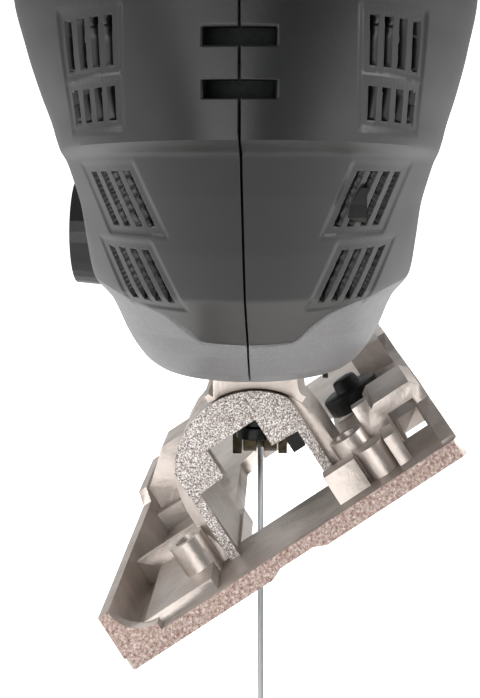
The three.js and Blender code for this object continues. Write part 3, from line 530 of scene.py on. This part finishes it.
def head_skin(side, upper):
    """The gear head above or below the joint line, an upright column: its section is a superellipse of power
    HEAD_POWER, its width grows by smoothstep, and its top is domed."""
    v = np.linspace(0, 1, 70)[None, :]
    a = np.linspace(0, math.pi, 90)[:, None]
    along, across = np.sign(np.cos(a)) * np.abs(np.cos(a)) ** HEAD_POWER, np.abs(np.sin(a)) ** HEAD_POWER
    line = curve(JOINT, HEAD_Y - HEAD_HALF * along)
    z = line + SEAM + v * (HEAD_TOP - line - SEAM) if upper else HEAD_FOOT + v * (line - SEAM - HEAD_FOOT)
    shrink = np.sqrt(np.maximum(0.04, 1 - smooth(96, 121, z) ** 2 * 0.8))
    wide = (17 + 11 * smooth(26, 58, z)) * shrink
    y = HEAD_Y - HEAD_HALF * shrink * along
    grid = np.stack([side * np.maximum(wide * across, SEAM), y, z], -1)
    if upper:
        cap = grid[:, -1:].copy()
        cap[..., 0] = side * SEAM
        grid = np.concatenate([grid, cap], 1)
    return sheet_mesh("head", grid)


for side, word in SIDES:
    wall(piece(f"motor_cover_{word}", casing_half(side, True), "frame", ABS, [f"housing_{word}"]))
    wall(piece(f"head_cover_{word}", head_skin(side, True), "frame", ABS))
    wall(piece(f"gear_case_{word}", casing_half(side, False), "frame", CASTING, [f"case_{word}"]))
    wall(piece(f"head_case_{word}", head_skin(side, False), "frame", CASTING))


def saddle_skin():
    """The half ring under the gear case that the shoe's arch turns against, as one closed bar. From behind it
    lies between an arc of radius ARCH_R and a toothed one of radius 20, which rises into a web 8.5 either way.
    Its section is a superellipse of power 0.22, a rounded square 32 long."""
    turn = np.radians(np.linspace(-33, 33, 133))
    below = np.stack([ARCH_R * np.sin(turn), ARCH_R * np.cos(turn)], -1)
    rise = smooth(9.6, 8.3, np.abs(20 * np.sin(turn))) * (27 - 20 * np.cos(turn))
    teeth = 0.55 * (np.cos(np.clip((np.degrees(turn) + 30) / 12, 0, 1) * 8 * math.pi) - 1)
    above = np.stack([(20 + teeth) * np.sin(turn), (20 + teeth) * np.cos(turn) + rise], -1)
    phi = np.linspace(0, 2 * math.pi, 48, endpoint=False)
    across, up = (np.sign(f(phi)) * np.abs(f(phi)) ** 0.22 for f in (np.cos, np.sin))
    share = (0.5 + 0.5 * up)[None, :, None]
    xz = below[:, None] * (1 - share) + above[:, None] * share
    y = (29 + 16 * across)[None, :, None] + 0 * xz[..., :1]
    grid = np.concatenate([xz[..., :1], y, xz[..., 1:]], -1)
    ends = [np.repeat(row.mean(0)[None, None], len(phi), 1) for row in (grid[0], grid[-1])]
    return sheet_mesh("saddle", np.concatenate([ends[0], grid, ends[1]]), round_v=True)


piece("bevel_saddle", saddle_skin(), "frame", ZINC)


def vent_shade_sheet():
    """A dark sheet behind the stern's slots, painted shade for the casing's dark inside: the casing's quarter
    ellipse, narrower by a fifth and 7 further in.
    """
    t = np.linspace(0, 0.5, 60)[:, None]
    z = np.linspace(40, 100, 60)[None, :] + 0 * t
    right = body_skin(1, t, z) * [0.8, 1, 1] + [0, 7, 0]
    left = (right * [-1, 1, 1])[::-1]
    return sheet_mesh("vent_shade_sheet", np.concatenate([left, right]))


# painted shade: a dark matt sheet behind the vent slots stands in for the shade inside the motor casing
piece("vent_shade_sheet", vent_shade_sheet(), "frame", RUBBER)


# ---- the D handle ----
def bezier(a, b, c, d, count=40):
    """Cubic Bezier: (1-t)^3 a + 3(1-t)^2 t b + 3(1-t) t^2 c + t^3 d."""
    t = np.linspace(0, 1, count, endpoint=False)[:, None]
    a, b, c, d = (np.array(p, float) for p in (a, b, c, d))
    return (1 - t) ** 3 * a + 3 * (1 - t) ** 2 * t * b + 3 * (1 - t) * t**2 * c + t**3 * d


def straight(a, b, count=40):
    """Evenly spaced points from a towards b."""
    t = np.linspace(0, 1, count, endpoint=False)[:, None]
    return np.array(a, float) * (1 - t) + np.array(b, float) * t


# The D seen from the side, as y and z: the outside, and round the fingers.
D_OUTSIDE = np.vstack([
    bezier((-78, 100), (-92, 128), (-90, 150), (-82, 168)),
    bezier((-82, 168), (-76, 182), (-62, 191), (-44, 191)),
    bezier((-44, 191), (-10, 189), (30, 192), (56, 190)),
    bezier((56, 190), (80, 188), (96, 176), (101, 158)),
    bezier((101, 158), (106, 140), (106, 120), (104, 100)),
    straight((104, 100), (-78, 100), 80),
])
D_INSIDE = np.vstack([
    straight((-30, 122), (50, 122)),
    bezier((50, 122), (64, 122), (68, 134), (64, 144)),
    bezier((64, 144), (60, 154), (48, 156), (34, 156)),
    bezier((34, 156), (10, 157), (-10, 153), (-24, 154)),
    bezier((-24, 154), (-44, 155), (-50, 146), (-50, 138)),
    bezier((-50, 138), (-50, 128), (-44, 122), (-30, 122)),
])
D_CENTRE = np.array([8.0, 139.0])


def by_angle(outline, turns):
    """An outline's points at the given directions from the handle's middle, by its radius at each direction."""
    out = outline - D_CENTRE
    angle = np.arctan2(out[:, 1], out[:, 0])
    order = np.argsort(angle)
    radius = np.interp(turns, angle[order], np.hypot(*out.T)[order], period=2 * math.pi)
    return D_CENTRE + radius[:, None] * np.stack([np.cos(turns), np.sin(turns)], -1)


def handle_half(side):
    """Half of a bar round the finger opening: in each direction its section is a superellipse of power
    GRIP_POWER from the inner to the outer outline, GRIP_HALF across. It is open where the plunger rises."""
    turns = np.linspace(-math.pi, math.pi, 320, endpoint=False)
    outer, inner = by_angle(D_OUTSIDE, turns), by_angle(D_INSIDE, turns)
    phi = np.linspace(0, math.pi, 56)
    along = np.sign(np.cos(phi)) * np.abs(np.cos(phi)) ** GRIP_POWER
    across = np.abs(np.sin(phi)) ** GRIP_POWER
    middle, reach = (outer + inner) / 2, (outer - inner) / 2
    yz = middle[:, None] + reach[:, None] * along[None, :, None]
    x = np.maximum(GRIP_HALF * across, SEAM)[None, :] + 0 * yz[..., 0]
    grid = np.concatenate([(side * x)[..., None], yz], -1)
    over_plunger = (x < 10) & (np.abs(yz[..., 0] - HEAD_Y) < 10) & (yz[..., 1] < 114)
    return sheet_mesh("handle", grid, ~over_plunger[:, :-1], round_u=True)


for side, word in SIDES:
    wall(piece(f"handle_{word}", handle_half(side), "frame", ABS))


# ---- pieces whose shape the CAD has right: merged, softened and smooth ----
def from_cad(node, radius):
    """A copy of a CAD node as a piece of its own: doubles merged, shaded smooth, its edges rounded."""
    mesh = frame["nodes"][node].data.copy()
    slot = SLOT_OF[node]
    body = next(name for name, nodes in frame["record"]["behaviour"]["bodies"].items() if node in nodes)
    finish = OWN_FINISH.get(node, FINISH[slot])
    made = piece(node + "_finished", mesh, body, finish, [node], outward=False)
    if radius:
        soften(made, radius)


for node, radius in {
    "shoe": 0.45, "guide_screw": 0.4, "clamp_lever": 0.3, "clamp_bolt": 0.2, "clamp_plate": 0.2, "blade": 0,
    "blade_clamp": 0.4, "pendulum_fork": 0.3, "guide_roller": 0.25, "roller_pin": 0.1, "orbit_knob": 1.0,
    "grip_pad_left": 0.5, "grip_pad_right": 0.5, "trigger": 1.0, "lock_button": 0.6, "speed_dial": 0.4,
    "cord_gland": 0.5, "plunger": 0.2, "chip_guard": 0.2,
}.items():
    from_cad(node, radius)


# ---- stage, light and camera ----
def studio_sweep():
    """Paper sweep: flat floor, a quarter turn of radius 900, then an upright wall."""
    turn, radius, wall_foot = np.linspace(0, math.pi / 2, 24), 900, 1500
    y = np.concatenate([[-2600, -500], wall_foot + radius * np.sin(turn), [wall_foot + radius] * 2])
    z = np.concatenate([[0, 0], radius - radius * np.cos(turn), [2200, 3600]]) + FLOOR_Z
    x = np.linspace(-3600, 3600, 5)
    grid = np.stack(np.broadcast_arrays(x[:, None], y[None], z[None]), -1)
    return sheet_mesh("studio_sweep", grid)


def seamless_paper():
    """White background paper: matt, with faint fibres, and bright enough seen directly to show no floor line."""
    made, tree, where = material("seamless_paper")
    fibres = add(tree, "ShaderNodeTexNoise", Vector=where.outputs["Object"], Scale=1000 / 60, Detail=2.0)
    tone = add(tree, "ShaderNodeValToRGB", {"stops": [(0.2, "f6f6f5"), (0.8, "fbfbfa")]}, Fac=fibres.outputs[0])
    seen = add(tree, "ShaderNodeLightPath").outputs["Is Camera Ray"]
    glow = add(tree, "ShaderNodeMapRange", Value=seen, To_Min=0.25, To_Max=1.0).outputs[0]
    shader = add(
        tree, "ShaderNodeBsdfPrincipled", Base_Color=tone.outputs[0], Roughness=0.9,
        Emission_Color=(1, 1, 1, 1), Emission_Strength=glow,
    )
    add(tree, "ShaderNodeOutputMaterial", Surface=shader.outputs[0])
    return made


sweep = bpy.data.objects.new("studio_sweep", studio_sweep())
sweep.data.shade_smooth()
sweep.data.materials.append(seamless_paper())
bpy.context.scene.collection.objects.link(sweep)


DIM_AIR, BRIGHT_AIR = 0.03, 0.55


def studio_air():
    """The room's light: bright to both sides and above, dim elsewhere. Seen directly it is plain white."""
    made = bpy.data.worlds.new("studio")
    made.use_nodes = True
    tree = made.node_tree
    tree.nodes.clear()
    ray = add(tree, "ShaderNodeTexCoord").outputs["Generated"]
    split = add(tree, "ShaderNodeSeparateXYZ", Vector=ray)
    across = add(tree, "ShaderNodeMath", {"operation": "ABSOLUTE"}, i0=split.outputs[0]).outputs[0]
    sides = add(
        tree, "ShaderNodeMapRange", {"interpolation_type": "SMOOTHSTEP"},
        Value=across, From_Min=0.35, From_Max=0.95,
    )
    above = add(tree, "ShaderNodeMapRange", Value=split.outputs[2], From_Min=0.1, From_Max=1.0, To_Max=0.5)
    both = add(tree, "ShaderNodeMath", i0=sides.outputs[0], i1=above.outputs[0]).outputs[0]
    level = add(tree, "ShaderNodeMapRange", Value=both, To_Min=DIM_AIR, To_Max=BRIGHT_AIR).outputs[0]
    seen = add(tree, "ShaderNodeLightPath").outputs["Is Camera Ray"]
    strength = add(tree, "ShaderNodeMix", {"data_type": "FLOAT"}, i0=seen, i2=level, i3=1.0).outputs[0]
    back = add(tree, "ShaderNodeBackground", Strength=strength)
    add(tree, "ShaderNodeOutputWorld", Surface=back.outputs[0])
    bpy.context.scene.world = made


studio_air()


def softbox(name, place, target, size, power):
    """A rectangular area light at `place`, facing `target`, both in the tool's own frame."""
    data = bpy.data.lights.new(name, "AREA")
    data.shape = "RECTANGLE"
    data.size, data.size_y = size
    data.energy = power
    obj = bpy.data.objects.new(name, data)
    bpy.context.scene.collection.objects.link(obj)
    at, to = Vector(metres(place)), Vector(metres(target))
    obj.location = at
    obj.rotation_euler = (to - at).to_track_quat("-Z", "Y").to_euler()


softbox("key_left", (-800, -60, 450), (0, 20, 30), (0.5, 0.7), 4.6)
softbox("fill_right", (800, -20, 400), (0, 20, 30), (0.5, 0.7), 5.2)
softbox("rim_back", (0, 900, 800), (0, 60, 40), (1.0, 0.5), 2.2)
softbox("low_front", (-150, -600, -60), (0, 20, -10), (0.5, 0.4), 2.3)

FILM = 36  # height of the camera's film
FOCAL = 1125 / 698  # focal length, as a share of the film's height
camera = bpy.data.objects.new("camera", bpy.data.cameras.new("camera"))
bpy.context.scene.collection.objects.link(camera)
camera.location = metres((4.4, -225, 62))
camera.rotation_euler = (math.radians(90), 0, 0)
camera.data.shift_x, camera.data.shift_y = -0.0516, -0.2393
camera.data.sensor_fit = "AUTO"
camera.data.sensor_width = FILM
camera.data.lens = FILM * FOCAL
camera.data.clip_start = 0.01
bpy.context.scene.camera = camera
bpy.context.scene.view_settings.view_transform = "Standard"
